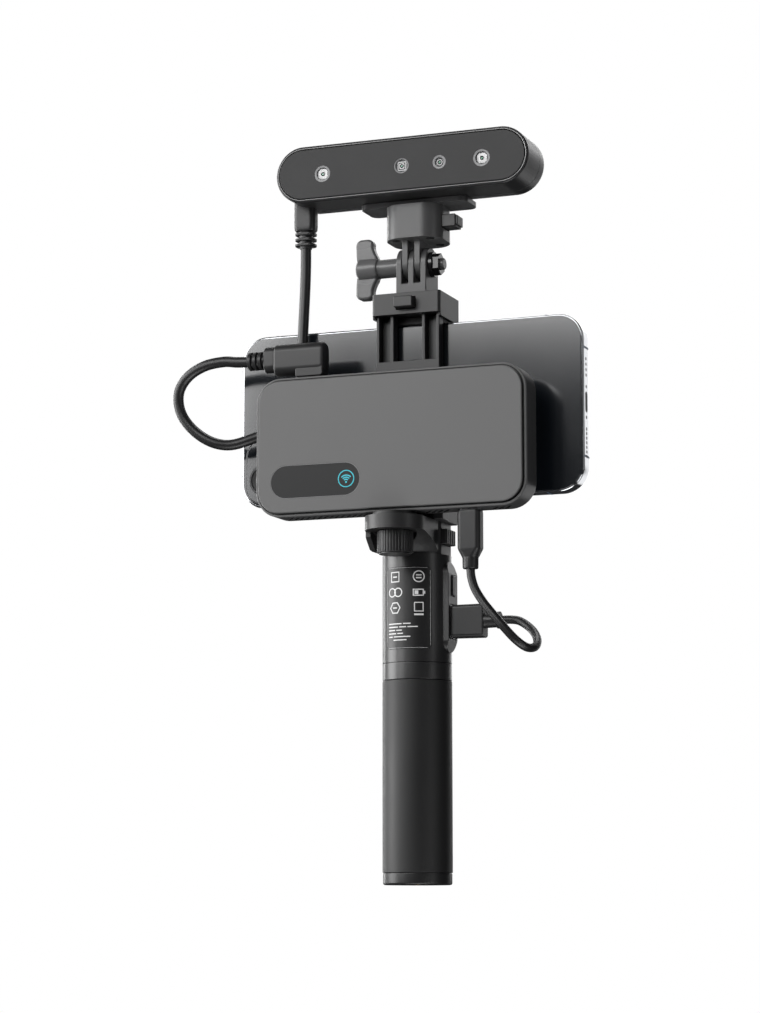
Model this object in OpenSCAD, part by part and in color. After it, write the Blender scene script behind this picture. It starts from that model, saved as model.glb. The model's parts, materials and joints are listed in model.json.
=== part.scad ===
// Handheld 3-D scanner rig: a scanner bar on a tilting action-camera joint, a spring
// phone clamp, a wireless bridge box and a battery handle, with their two cables.
// +Z up, +X right, front faces -Y. The origin is the mouth of the tripod thread,
// at the centre of the handle's lower end. Millimetres.

/* [Handle] */
// Outer radius of the rubber grip
grip_r = 14.0; // [13.6:0.1:14.6]
// Height of the end cap's rim
cap_h = 4.7; // [4:0.1:6]
// Height at which the rubber grip ends
grip_top = 81; // [79:0.5:82]
// Height at which the collar ring ends
collar_top = 88; // [86:0.5:89]
// Height at which the upper housing ends
housing_top = 131.3; // [131.3:0.1:132]
// Radius of the tripod thread's wall
tripod_r = 3.1; // [3.1:0.05:3.2]

/* [Bracket] */
// Height of the bracket's top face
bracket_top = 144.5; // [144.5:0.1:144.8]
// Distance of the knob's axis in front of the handle's axis
knob_y = 24.7; // [24:0.1:25]
// Radius of the knurled knob
knob_r = 7.2; // [6.5:0.1:7.6]

/* [Bridge box] */
// Width of the box
box_w = 114.8; // [110:0.2:118]
// Height of the box
box_h = 56.7; // [54:0.1:57]
// Height of the box's underside above the origin
box_z = 146.2; // [146.2:0.1:146.6]
// Radius of the box's corners
box_corner = 10.4; // [8:0.1:11]

/* [Phone] */
// Length of the phone, lying across the clamp
phone_l = 148; // [146:0.5:150]
// Width of the phone, upright in the clamp
phone_w = 72; // [72:0.1:72]
// Thickness of the phone
phone_t = 7.9; // [7:0.1:8]

/* [Clamp and joint] */
// Half width of the jaws
jaw_half = 14.7; // [14.7:0.1:15]
// Height of the tilt axis
tilt_z = 251.6; // [251:0.1:252]
// Distance between neighbouring fingers of one part of the joint
finger_pitch = 5.3; // [5.3:0.1:5.4]
// Radius of the wing bolt's shank
bolt_r = 2.45; // [2.4:0.01:2.45]

/* [Scanner] */
// Overall width of the scanner bar
scan_w = 109.4; // [105:0.2:112]
// Height of the scanner bar
scan_h = 23.6; // [23.2:0.1:23.6]
// Height of the middle of the scanner bar
scan_z = 289.7; // [289.7:0.1:290]

/* [Cables] */
// Diameter of the data cable
data_d = 4.4; // [3.6:0.1:4.8]
// Diameter of the power cable
power_d = 3.4; // [3:0.1:3.6]

/* [Hidden] */
$fn = 64;

play = 0.3;              // clearance between parts that move past each other
run = 0.05;              // radial clearance of a shaft in its bore

core_r = 12.6;           // handle: outside of the core tube, inside of the sleeve
core_in = 11.0;          // handle: inside of the core tube
housing_r = 13.95;       // handle: upper housing's outside
housing_in = 12.0;       // handle: upper housing's inside
insert_r = 5;            // tripod insert's outside
cell_r = 10.6;           // battery cell's radius
cell_z = [11.5, 81.5];   // battery cell's ends
panel_x = [11, 15.4];    // port panel, from its back to its face
panel_z = [92, 128.8];   // port panel's ends
panel_flat = [97.3, 123.6]; // ends of the panel's flat face
usb_a_z = 104.5;         // middle of the USB-A port
button_z = [115, 123];   // power button's ends

arm_z = 138.9;           // underside of the bracket's arm
arm_r = 12;              // radius of the arm's rounded front
hub_half = 12.5;         // bracket hub's half width between its flats
thumb_y = [-5.7, 4.7];   // thumb button's sides
thumb_z = [135.6, 141.6];
thumb_x = [10.2, 15];
spring_z = 138.5;        // axis of the thumb button's spring
thumb_travel = 2;
stud_r = 3;              // knob's stud
insert_top = 154;        // top of the insert that the stud enters

box_y = [-30.9, -15.3];  // box's front and back
box_x = -0.85;           // middle of the box along X
box_mid = box_z + box_h / 2;
cover_y = -29.4;         // where the front cover meets the rear shell
screw_seat = 16.3;       // depth of the screw heads' seat behind the handle's axis
badge_c = [-32, 160.1];
badge_size = [38.8, 13.6];
data_port_x = -38;       // middle of the data port along X
plug_c_x = 31.3;         // middle of the power inlet along X
plug_c_y = -23.8;

phone_x = -1.7;          // middle of the phone along X
phone_y = -4.8;          // plane of the phone's back
phone_z = 154.1;         // phone's lower edge
phone_top = phone_z + phone_w;
phone_corner = 10.5;

sleeve_top = 202;        // top of the clamp's fixed sleeve
ledge_z = [202.8, 210.4]; // cross bar of the carriage
carriage_y = [-10.4, -5.3];
jaw_y = [-12.8, 10.9];
jaw_z = [229.2, 238.1];
pad_gap = 0.1;           // between the phone's edge and the upper pad
slot_floor = 243.2;      // bottom of the slots between the fingers
finger_t = 2.4;          // thickness of a hub finger
prong_t = 2.3;           // thickness of a block prong
finger_r = 7.2;          // round end of a finger
hub_y = [-6.6, 8];
nut_x = [6.6, 10.8];

block_z = [261.3, 275.5];
block_y = [-11, 11.5];
block_x = [-11.2, 12.9];
plate_z = [275.5, 277.9];
block_screw_x = [-6.4, 8.1];
block_screw_y = [-6, 6.4];
lever_x = [11, 19.3];
lever_y = [-4.4, 3.4];
lever_z = [266.1, 271.3];
lever_travel = 2;

scan_y = [-19, 5];       // scanner bar's front and back
seam_y = -3.6;           // where the bezel meets the rear shell
scan_r = scan_h / 2;
panel_inset = 0.9;       // width of the bright rim round the front panel
window_x = [-34.1, 0.6, 16.9, 35];
window_z = scan_z - 0.5;
window_r = [3.3, 3, 2.7, 3.4];

plug_x = -46.2;          // scanner's data plug
plug_y = -7.1;
socket_z = 283.4;        // mouth of the socket inside the bar
split_z = 214;           // where the data cable's two stretches meet
angle_z = 211.7;         // axis of the angled plug's cable
angle_y = [-28, -20.6];
angle_x = [-51.6, -30];
angle_body_z = [204.6, 217.7];
leg_z = 203.4;           // lower end of the angled plug's leg

// Data cable from the scanner's plug, down behind the box, and round to the angled plug
upper_route = [
    [plug_x, -7.1, 261], [plug_x, -7.1, 254], [plug_x, -7.6, 246], [plug_x, -8.4, 238],
    [plug_x, -9.3, 230], [plug_x, -10.2, 222], [plug_x, -11, split_z + 0.15]
];
lower_route = [
    [plug_x, -11, split_z], [-46.2, -11.5, 208], [-46.5, -11.8, 202], [-48, -12, 196.2],
    [-51.4, -12.4, 190], [-57.2, -13.3, 185], [-66, -15.2, 181.6], [-75, -17.1, 179.2],
    [-82.4, -19, 180.4], [-89.5, -20.2, 184.8], [-94.6, -21.2, 190.8], [-96.6, -22, 197],
    [-95.6, -22.8, 203], [-91, -23.6, 208.2], [-83.6, -24.1, 211.6], [-75.2, -24.3, 212.6],
    [-69.4, -24.3, 212], [-63.9, -24.3, angle_z]
];
// Power cable from the box's inlet plug, down and round to the handle's port
power_route = [
    [plug_c_x, plug_c_y, 122.4], [31.7, -23.9, 119], [33.2, -24, 114.5], [36.5, -24.2, 109.3],
    [40.8, -24.5, 104.1], [45.1, -24.3, 99], [49.2, -22.9, 94.3], [52.5, -19.3, 91.4],
    [54.2, -14.1, 91.8], [53.6, -8.6, 94.9], [50.8, -4.3, 98.7], [47, -1.6, 101.8],
    [43.2, -0.3, 103.9], [39.5, 0, 104.5], [35.6, 0, 104.5]
];

rubber = "#2b2b2b";
shell = "#3a3a3b";
shell_light = "#5c5c5d";
steel = "#9a9ca0";

// ---- shapes that repeat ----

// Rounded rectangle, centred
module rrect(w, h, r) {
    square([w - 2 * r, h], center = true);
    square([w, h - 2 * r], center = true);
    for (x = [-1, 1], y = [-1, 1])
        translate([x * (w / 2 - r), y * (h / 2 - r)]) circle(r);
}

// Extrudes an X-Z outline from y[0] to y[1]
module along_y(y) translate([0, y[1], 0]) rotate([90, 0, 0]) linear_extrude(y[1] - y[0]) children();

// Extrudes a Y-Z outline from x[0] to x[1]
module along_x(x) translate([x[0], 0, 0]) rotate([90, 0, 90]) linear_extrude(x[1] - x[0]) children();

// Extrudes an X-Y outline from z[0] to z[1]
module along_z(z) translate([0, 0, z[0]]) linear_extrude(z[1] - z[0]) children();

// Block between two corners
module span(a, b) translate(a) cube(b - a);

module tube(r, inner, z) along_z(z) difference() { circle(r); circle(inner); }

module rod(r, z) along_z(z) circle(r);

// Coil spring as a stack of touching rings
module ring_stack(r, wire, z) {
    count = floor((z[1] - z[0]) / (wire * 1.9));
    step = (z[1] - z[0] - 2 * wire) / (count - 1);
    for (i = [0 : count - 1])
        translate([0, 0, z[0] + wire + i * step])
            rotate_extrude($fn = 24) translate([r - wire, 0]) circle(wire, $fn = 16);
}

function unit(v) = v / norm(v);
function tangent(p, i) = unit(p[min(i + 1, len(p) - 1)] - p[max(i - 1, 0)]);

// Tube that follows a route, with flat ends
module cable(route, d, sides = 8) {
    n = len(route);
    rings = [for (i = [0 : n - 1])
        let (t = tangent(route, i), s = unit(cross(t, [0, 1, 0])), u = cross(s, t))
        for (k = [0 : sides - 1])
            route[i] + d / 2 * (cos(360 * k / sides) * s + sin(360 * k / sides) * u)];
    walls = [for (i = [0 : n - 2], k = [0 : sides - 1])
        let (a = i * sides + k, b = i * sides + (k + 1) % sides)
        each [[a, b, b + sides], [a, b + sides, a + sides]]];
    first = [[for (k = [0 : sides - 1]) sides - 1 - k]];
    last = [[for (k = [0 : sides - 1]) (n - 1) * sides + k]];
    polyhedron(rings, concat(walls, first, last));
}

// ---- handle ----

module end_cap() color(shell) difference() {
    union() {
        translate([0, 0, 0]) rotate_extrude()
            polygon([[0, 0], [13.1, 0], [13.8, 0.7], [13.8, cap_h], [0, cap_h]]);
        rod(core_in - 0.03, [cap_h, 9]);
    }
    rod(insert_r, [-1, 10]);
}

module tripod_insert() color("goldenrod") difference() {
    rod(insert_r, [0, 9]);
    rod(tripod_r, [-1, 8]);
}

module grip_sleeve() color(rubber) tube(grip_r, core_r, [cap_h, grip_top]);

module grip_core() color(shell) tube(core_r, core_in, [cap_h, collar_top]);

module battery_cell() color("teal") {
    rod(cell_r, [cell_z[0], cell_z[1] - 1.2]);
    rod(3.4, [cell_z[1] - 1.2, cell_z[1]]);
}

module battery_contacts() color(steel) {
    rod(6, [9, 9.5]);
    translate([0, 0, 9.5]) rotate_extrude($fn = 32) polygon([[4.2, 0], [5.2, 0], [4, 2], [3, 2]]);
    rod(6, [cell_z[1], cell_z[1] + 0.8]);
}

module power_board() color("darkgreen") {
    span([-9, 3.2, 84], [9, 4.8, 125]);
    span([-6, 4.8, 108], [2, 7.2, 116]);
    span([-5, 1.2, 89], [4, 3.2, 95]);
    span([-2, 1.6, 84], [2, 3.2, 86]);
}

module usb_a_socket() color(steel) difference() {
    span([1, -2.9, usb_a_z - 6.6], [15.2, 2.9, usb_a_z + 6.6]);
    span([2, -2.5, usb_a_z - 6.2], [16, 2.5, usb_a_z + 6.2]);
}

module collar_ring() color(shell_light) tube(13.8, core_r + 0.03, [grip_top, collar_top]);

module panel_outline()
    translate([0, (panel_z[0] + panel_z[1]) / 2])
        rrect(10.4, panel_z[1] - panel_z[0], 5);

module upper_housing() color(shell) difference() {
    union() {
        tube(housing_r, housing_in, [collar_top, housing_top]);
        rod(housing_in, [housing_top - 2, housing_top]);
    }
    along_x([8, 20]) panel_outline();
    rod(3.03, [125, 140]);
}

// Raised strip whose ends slope back to the housing
module port_panel() color(shell) difference() {
    intersection() {
        along_x(panel_x) panel_outline();
        along_y([-8, 8]) polygon([[panel_x[0], panel_z[0]], [14.1, panel_z[0]],
                                  [panel_x[1], panel_flat[0]], [panel_x[1], panel_flat[1]],
                                  [14.1, panel_z[1]], [panel_x[0], panel_z[1]]]);
    }
    span([10, -3.6, usb_a_z - 7], [20, 3.6, usb_a_z + 7]);
    span([12.8, -1.9, button_z[0] - play], [20, 1.9, button_z[1] + play]);
}

module power_button() color("black")
    span([13.7, -1.6, button_z[0]], [15.9, 1.6, button_z[1]]);

module label_plate() color("#1c1c1d") intersection() {
    tube(housing_r + 0.25, housing_r, [93, 126]);
    span([-8.9, -20, 90], [10, 0, 130]);
}

// ---- bracket ----

module bracket_bolt() color(steel) {
    rod(5.2, [126, housing_top - 2]);
    rod(3, [housing_top - 2, 139]);
}

module bracket() color(shell_light) difference() {
    union() {
        along_z([housing_top, bracket_top]) intersection() {
            circle(13.7);
            square([2 * hub_half, 40], center = true);
        }
        along_z([housing_top, bracket_top]) translate([-arm_r, -knob_y])
            square([2 * arm_r, knob_y - 8]);
        along_z([housing_top, bracket_top]) translate([0, -knob_y]) circle(arm_r);
    }
    // cove from the arm's underside down to the hub, which leaves a cheek on the left
    difference() {
        rotate_extrude() polygon([[13.75, 120], [13.75, 132], [14.7, 132.8], [16.2, 134.3],
                                  [17.8, 135.5], [20, 136.7], [22.6, 137.7], [26.4, arm_z],
                                  [60, arm_z], [60, 120]]);
        along_x([-12.5, -9.8]) polygon([[-26.6, arm_z + 1], [-26.6, 136.8], [-21.6, 132.2],
                                        [-19, 131.8], [-8, 131.8], [-8, arm_z + 1]]);
    }
    // hollow round the knob
    translate([0, -knob_y, 0]) rod(8.6, [120, arm_z]);
    translate([0, -knob_y, 0]) rod(stud_r + run, [120, 160]);
    rod(3.03, [housing_top - 1, 139]);
    // pocket of the thumb button, and the bore of its spring
    span([thumb_x[0] - thumb_travel - 0.2, thumb_y[0] - play, thumb_z[0] - play],
         [20, thumb_y[1] + play, thumb_z[1] + play]);
    translate([0, -0.5, spring_z]) rotate([0, 90, 0]) rod(2.4, [3.5, 12]);
}

module thumb_button() color(shell) {
    span([thumb_x[0], thumb_y[0], thumb_z[0]], [thumb_x[1] - 0.6, thumb_y[1], thumb_z[1]]);
    for (i = [0 : 4])
        translate([0, thumb_y[0] + 1 + 2.1 * i, 0])
            span([thumb_x[1] - 0.6, -0.6, thumb_z[0]], [thumb_x[1], 0.6, thumb_z[1]]);
}

module thumb_spring() color(steel)
    translate([0, -0.5, spring_z]) rotate([0, 90, 0]) ring_stack(2.0, 0.3, [5.6, thumb_x[0]]);

module bracket_pad() color(rubber) translate([0, -knob_y, 0])
    difference() { rod(9, [bracket_top, box_z]); rod(stud_r + run, [140, 150]); }

module box_knob() color(shell) translate([0, -knob_y, 0]) {
    along_z([130.1, arm_z - play]) difference() {
        circle(knob_r);
        for (i = [0 : 35]) rotate(i * 10) translate([knob_r + 0.1, 0]) circle(0.35, $fn = 13);
    }
    rod(knob_r - 0.8, [129.5, 130.1]);
    rod(stud_r, [arm_z - play, insert_top - 2]);
}

// ---- bridge box ----

module box_outline(inset = 0) translate([box_x, box_mid])
    rrect(box_w - 2 * inset, box_h - 2 * inset, box_corner - inset);

module slot(at, lean, length = 8.4) translate([at, -21.8, 0]) rotate([0, 0, lean])
    span([-0.55, -length / 2, box_z - 1], [0.55, length / 2, box_z + 3]);

// Puts its children at the box's corner screws, pointing to the front
module screw_places() for (x = [-44, 44], z = [154, 197])
    translate([x, 0, z]) rotate([90, 0, 0]) children();

module box_rear_shell() color(shell) difference() {
    union() {
        difference() {
            along_y([cover_y, box_y[1]]) box_outline();
            along_y([cover_y - 1, box_y[1] - 1.6]) box_outline(1.6);
        }
        // boss that takes the knob's stud, flat where the front cover passes it
        intersection() {
            translate([0, -knob_y, 0]) rod(stud_r + 2.6, [box_z, insert_top]);
            span([-10, cover_y + 0.1, box_z], [10, box_y[1] - 1, insert_top]);
        }
    }
    translate([0, -knob_y, 0]) rod(stud_r + run, [box_z - 1, insert_top + 1]);
    // power inlet below, data port on top
    translate([plug_c_x, plug_c_y, 0]) along_z([box_z - 1, box_z + 3]) rrect(9.2, 3.4, 1.6);
    translate([data_port_x, -24.3, 0]) along_z([box_z + box_h - 3, box_z + box_h + 1]) rrect(9.2, 3.4, 1.6);
    screw_places() {
        rod(1.13, [14, 18]);
        rod(2.13, [14, screw_seat]);
    }
    for (i = [0 : 13]) slot(-46 + 2.5 * i, 35);
    for (i = [0 : 3]) slot(13 + 2.5 * i, 35);
    for (i = [0 : 2]) slot(41 + 2.5 * i, 35);
}

module box_front_cover() color(shell_light) difference() {
    union() {
        along_y([box_y[0], cover_y]) box_outline(1.4);
        along_y([cover_y - 0.5, cover_y + 2]) box_outline(1.7);
    }
    along_y([cover_y, cover_y + 3]) box_outline(2.9);
    // gap in the tongue where the stud's boss stands
    span([-8, cover_y, box_z], [8, cover_y + 3, insert_top]);
    along_y([box_y[0] - 1, box_y[0] + 0.35]) translate(badge_c)
        rrect(badge_size[0], badge_size[1], badge_size[1] / 2 - 0.01);
}

module box_badge() color("#242425") difference() {
    along_y([box_y[0] + 0.05, box_y[0] + 0.35]) translate(badge_c)
        rrect(badge_size[0] - 0.1, badge_size[1] - 0.1, badge_size[1] / 2 - 0.06);
    along_y([box_y[0] - 1, box_y[0] + 0.2]) badge_mark();
}

// Ring with three wireless arcs over a dot
module badge_mark() translate(badge_c + [13.4, 0]) {
    difference() { circle(3.5); circle(3.1); }
    for (r = [1.1, 1.95, 2.8]) intersection() {
        translate([0, -1.4]) difference() { circle(r + 0.24); circle(r - 0.24); }
        translate([0, -1.4]) polygon([[0, 0], [3.2, 3.2], [-3.2, 3.2]]);
    }
    translate([0, -1.4]) circle(0.42);
}

module badge_icon() color("cyan") along_y([box_y[0] + 0.05, box_y[0] + 0.2]) badge_mark();

module box_board() color("darkgreen") {
    span([-48, -21.6, 158], [48, -20, 194]);
    span([-12, -24.4, 166], [6, -21.6, 182]);
    span([14, -23.6, 168], [24, -21.6, 178]);
    span([-40, -23.2, 176], [-26, -21.6, 188]);
}

module box_antennas() color("gold") {
    for (x = [-52.4, 50.9]) span([x, -25, 160], [x + 1.5, -20, 192]);
}

module box_sockets() color(steel) {
    translate([plug_c_x, plug_c_y, 0]) along_z([box_z + 1.7, box_z + 8]) rrect(9, 3.2, 1.5);
    translate([data_port_x, -24.3, 0]) along_z([box_z + box_h - 8, box_z + box_h - 1.7]) rrect(9, 3.2, 1.5);
}

module box_screws() color(steel) screw_places() {
    rod(1.1, [screw_seat, 26.4]);
    rod(2.1, [-box_y[1] - 0.2, screw_seat]);
}

// ---- phone clamp ----

module clamp_body() color(shell_light) difference() {
    union() {
        // lower jaw on the bracket, with its lip in front of the phone's screen
        span([-jaw_half, -10.9, bracket_top], [jaw_half, 8, 151]);
        span([-jaw_half, 3.6, 151], [jaw_half, 8, 157]);
        // sleeve that guides the carriage
        span([-15.6, -12.6, bracket_top], [15.6, -5.1, sleeve_top]);
    }
    span([-13.9, -10.7, 151.5], [13.9, -6.3, sleeve_top + 1]);
}

module lower_pad() color(rubber)
    span([-jaw_half + 0.2, -5, 151], [jaw_half - 0.2, 3.5, phone_z - pad_gap]);

module clamp_springs() color(steel)
    for (x = [-3, 3]) translate([x, -8.5, 0]) ring_stack(1.7, 0.35, [151.5, ledge_z[0] - 0.1]);

module jaw_carriage() color(shell_light) {
    difference() {
        // twin channels above the cross bar
        span([-13.6, carriage_y[0], ledge_z[0]], [13.6, carriage_y[1], jaw_z[0]]);
        span([-6.1, -20, ledge_z[1]], [6.1, 0, jaw_z[0] + 1]);
        for (x = [-12.3, 7.5])
            span([x, -20, ledge_z[1]], [x + 4.8, carriage_y[1] - 0.8, jaw_z[0] + 1]);
    }
    // two legs that run in the sleeve
    for (x = [-13.6, 6.1]) span([x, carriage_y[0], 166], [x + 7.5, -6.6, ledge_z[0]]);
}

module jaw_cap() color(shell_light) difference() {
    union() {
        translate([0, (jaw_y[0] + jaw_y[1]) / 2, 0]) along_z(jaw_z)
            rrect(2 * jaw_half, jaw_y[1] - jaw_y[0], 1.2);
        // lip in front of the phone's screen, and side flanges
        span([-jaw_half, 3.6, 224], [jaw_half, 8, jaw_z[0]]);
        for (x = [-jaw_half, jaw_half - 1]) span([x, -11.6, 227.8], [x + 1, 3.6, jaw_z[0]]);
    }
    span([-4.3, -20, 231.1], [4.3, -9.6, 236.3]);
}

module jaw_pad() color(rubber)
    span([-13.5, -4.9, phone_top + pad_gap], [13.5, 3.5, jaw_z[0]]);

module jaw_lug() color(shell_light) span([-4, -16.6, 231.5], [4, -11.2, 235.9]);

module finger_profile(low) {
    translate([0.7, low]) translate([-7.3, 0]) square([14.6, tilt_z - low]);
    translate([0.7, tilt_z]) circle(7.3);
}

module finger_hub() color(shell_light) difference() {
    along_x([-finger_pitch - finger_t / 2, finger_pitch + finger_t / 2]) finger_profile(jaw_z[1]);
    for (x = [-1, 1]) translate([x * finger_pitch / 2, 0, 0])
        span([-1.45, -10, slot_floor], [1.45, 12, 262]);
    translate([0, 0, tilt_z]) rotate([0, 90, 0]) rod(bolt_r + run, [-20, 20]);
}

module hub_nut() color(shell_light) translate([0, 0, tilt_z]) rotate([0, 90, 0]) difference() {
    union() {
        rod(5.2, [6.5, 8.2]);
        along_z([8.2, nut_x[1]]) circle(4.6, $fn = 6);
    }
    rod(bolt_r + run, [0, 20]);
}

module wing_bolt() color(shell) translate([0, 0, tilt_z]) {
    rotate([0, 90, 0]) {
        rod(3.9, [-17, -6.8]);
        rod(bolt_r, [-6.8, 12.4]);
        rod(4.8, [-25.3, -16.2]);
    }
    // two wings, leaning away from the hub
    for (s = [-1, 1]) along_y([-2.3, 2.3])
        polygon([[-16.2, 0], [-16.2, s * 4.7], [-17.4, s * 6.4], [-18.6, s * 9], [-18.4, s * 11.8],
                 [-20, s * 12.8], [-24.6, s * 12.7], [-26, s * 11.2], [-25.9, s * 6], [-25.3, 0]]);
}

// ---- release block and plate ----

module release_block() color(shell_light) difference() {
    union() {
        translate([(block_x[0] + block_x[1]) / 2, (block_y[0] + block_y[1]) / 2, 0]) along_z(block_z)
            rrect(block_x[1] - block_x[0], block_y[1] - block_y[0], 8);
        for (x = [-1, 1]) translate([x * finger_pitch / 2, 0, 0]) along_x([-prong_t / 2, prong_t / 2]) {
            translate([-6.6, tilt_z]) square([13.2, block_z[0] - tilt_z]);
            translate([0, tilt_z]) circle(6.6);
        }
    }
    translate([0, 0, tilt_z]) rotate([0, 90, 0]) rod(bolt_r + run, [-20, 20]);
    for (x = block_screw_x, y = block_screw_y) translate([x, y, 0]) {
        rod(1.9, [260, 263.3]);
        rod(1.05, [260, 272]);
    }
    span([lever_x[0] - lever_travel - 0.4, lever_y[0] - play, lever_z[0] - play],
         [20, lever_y[1] + play, lever_z[1] + play]);
}

module block_screws() color(steel)
    for (x = block_screw_x, y = block_screw_y) translate([x, y, 0]) {
        difference() { rod(1.85, [261.9, 263.3]); along_z([261, 262.7]) circle(0.9, $fn = 6); }
        rod(1.0, [263.3, 271.5]);
    }

module release_lever() color(shell) {
    span([lever_x[0], lever_y[0], lever_z[0]], [lever_x[1] - 1, lever_y[1], lever_z[1]]);
    span([lever_x[1] - 1, lever_y[0] + 0.6, lever_z[0] + 0.6],
         [lever_x[1], lever_y[1] - 0.6, lever_z[1] - 0.6]);
}

module mount_plate() color(shell) translate([0.9, 0.5, 0]) along_z(plate_z) rrect(46.2, 16.2, 3.5);

// ---- scanner bar ----

module bar_outline(inset = 0) translate([0, scan_z])
    rrect(scan_w - 2 * inset, scan_h - 2 * inset, scan_r - inset - 0.01);

// Section of the bar's rear half: across from the axis, and along Y from the seam
module rear_section(r, deep, edge, ahead) {
    translate([0, -ahead]) square([r, deep - edge + ahead]);
    square([r - edge, deep]);
    translate([r - edge, deep - edge]) circle(edge);
}

// Solid rear half of the bar with a rounded back edge, which may start ahead of the seam
module rear_half(r, deep, edge, ahead = 0) {
    reach = scan_w / 2 - scan_r;
    for (s = [-1, 1]) translate([s * reach, seam_y, scan_z]) rotate([-90, 0, 0])
        rotate_extrude() rear_section(r, deep, edge, ahead);
    for (s = [0, 1]) along_x([-reach, reach]) translate([seam_y, scan_z]) mirror([0, s])
        rotate(90) mirror([0, 1]) rear_section(r, deep, edge, ahead);
}

module scanner_panel() color("#3c3c3e") difference() {
    along_y([scan_y[0], scan_y[0] + 1.8]) bar_outline(panel_inset);
    for (i = [0 : 3]) translate([window_x[i], 0, window_z]) rotate([90, 0, 0])
        rod(window_r[i] + 0.3, [10, 30]);
}

module scanner_bezel() color(steel) difference() {
    along_y([scan_y[0] + 0.3, seam_y]) bar_outline();
    along_y([scan_y[0] - 1, scan_y[0] + 1.8]) bar_outline(panel_inset);
    along_y([scan_y[0] + 3, seam_y + 1]) bar_outline(1.6);
    for (i = [0 : 3]) translate([window_x[i], 0, window_z]) rotate([90, 0, 0])
        rod(window_r[i] - 0.4, [10, 30]);
    translate([plug_x, plug_y, 0]) along_z([scan_z - scan_r - 1, scan_z - 2]) rrect(8.6, 3.2, 1.5);
}

module scanner_rear_shell() color(shell) difference() {
    rear_half(scan_r, scan_y[1] - seam_y, 3.8);
    rear_half(scan_r - 1.6, scan_y[1] - seam_y - 1.6, 2.4, 1);
}

module window_rings() color(steel)
    for (i = [0 : 3]) translate([window_x[i], 0, window_z]) rotate([90, 0, 0])
        tube(window_r[i] + 0.25, window_r[i] - 0.2, [-scan_y[0] - 1.8, -scan_y[0] - 0.1]);

module window_glasses() color("black")
    for (i = [0 : 3]) translate([window_x[i], 0, window_z]) rotate([90, 0, 0])
        rod(window_r[i] - 0.25, [-scan_y[0] - 1.2, -scan_y[0] - 0.4]);

module camera_modules() color("#202020")
    for (i = [0 : 3]) translate([window_x[i], 0, window_z]) {
        rotate([90, 0, 0]) rod(window_r[i] - 0.6, [11.4, -scan_y[0] - 1.6]);
        span([-4.4, -11.4, -4.4], [4.4, -8.2, 4.4]);
    }

module scanner_board() color("darkgreen") {
    span([-41.5, -8, 281.5], [44, -6.4, 298.3]);
    span([-9, -6.4, 284], [9, -3.8, 296]);
    span([20, -6.4, 285], [30, -4.4, 295]);
    span([-30, -6.4, 285], [-18, -4.4, 295]);
}

module scanner_socket() color(steel)
    translate([plug_x, plug_y, 0]) along_z([socket_z, 288]) rrect(8.4, 2.9, 1.4);

// ---- cables and plugs ----

// Moulded plug whose top follows the bar's round end
module scanner_plug() color(rubber) {
    difference() {
        translate([plug_x, plug_y, 0]) along_z([268, 283]) rrect(9.2, 6.8, 2.4);
        along_y([-30, 10]) bar_outline();
    }
    translate([plug_x, plug_y, 0]) {
        for (z = [262, 264.2, 266.4]) along_z([z, z + 1.2]) rrect(8.4, 6.2, 2.3);
        rod(2.4, [261.1, 268]);
        color(steel) along_z([275, socket_z]) rrect(8.2, 2.6, 1.2);
    }
}

module data_cord_upper() color(rubber) cable(upper_route, data_d);

module data_cord_lower() color(rubber) cable(lower_route, data_d);

module angle_plug() color(rubber) {
    y = (angle_y[0] + angle_y[1]) / 2;
    along_y(angle_y) {
        translate([(angle_x[0] + angle_x[1]) / 2, (angle_body_z[0] + angle_body_z[1]) / 2])
            rrect(angle_x[1] - angle_x[0], angle_body_z[1] - angle_body_z[0], 2.4);
        translate([-42.2, leg_z]) square([angle_x[1] + 42.2, 8]);
    }
    along_x([-56.4, angle_x[0]]) translate([y, angle_z]) rrect(6.2, 10.6, 2.6);
    for (x = [-63.4, -61.1, -58.8]) translate([x, y, angle_z]) rotate([0, 90, 0]) rod(3.6, [0, 1.6]);
    translate([0, y, angle_z]) rotate([0, 90, 0]) rod(2.5, [-63.8, -56.4]);
    color(steel) translate([data_port_x, y, 0])
        along_z([box_z + box_h - 1.7, leg_z]) rrect(8.6, 2.8, 1.3);
}

module power_cord() color(rubber) cable(power_route, power_d);

module usb_c_plug() color(rubber) translate([plug_c_x, plug_c_y, 0]) {
    along_z([128.6, box_z - 0.6]) rrect(9.4, 7, 2.2);
    along_z([127.2, 128.6]) rrect(7.8, 5.8, 2.2);
    rod(3.1, [122.5, 127.2]);
    color(steel) along_z([box_z - 0.6, box_z + 1.7]) rrect(8.6, 2.8, 1.3);
}

module usb_a_plug() color(rubber) {
    span([15.6, -3.4, usb_a_z - 6.7], [29.1, 3.4, usb_a_z + 6.7]);
    translate([0, 0, usb_a_z]) rotate([0, 90, 0]) rod(3, [29.1, 34.4]);
    translate([0, 0, usb_a_z]) rotate([0, 90, 0]) rod(3.4, [34.3, 35.5]);
    color(steel) span([6, -2.2, usb_a_z - 5.9], [15.6, 2.2, usb_a_z + 5.9]);
}

// ---- phone ----

module phone_outline(inset = 0) translate([phone_x, phone_z + phone_w / 2])
    rrect(phone_l - 2 * inset, phone_w - 2 * inset, phone_corner - inset);

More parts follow.
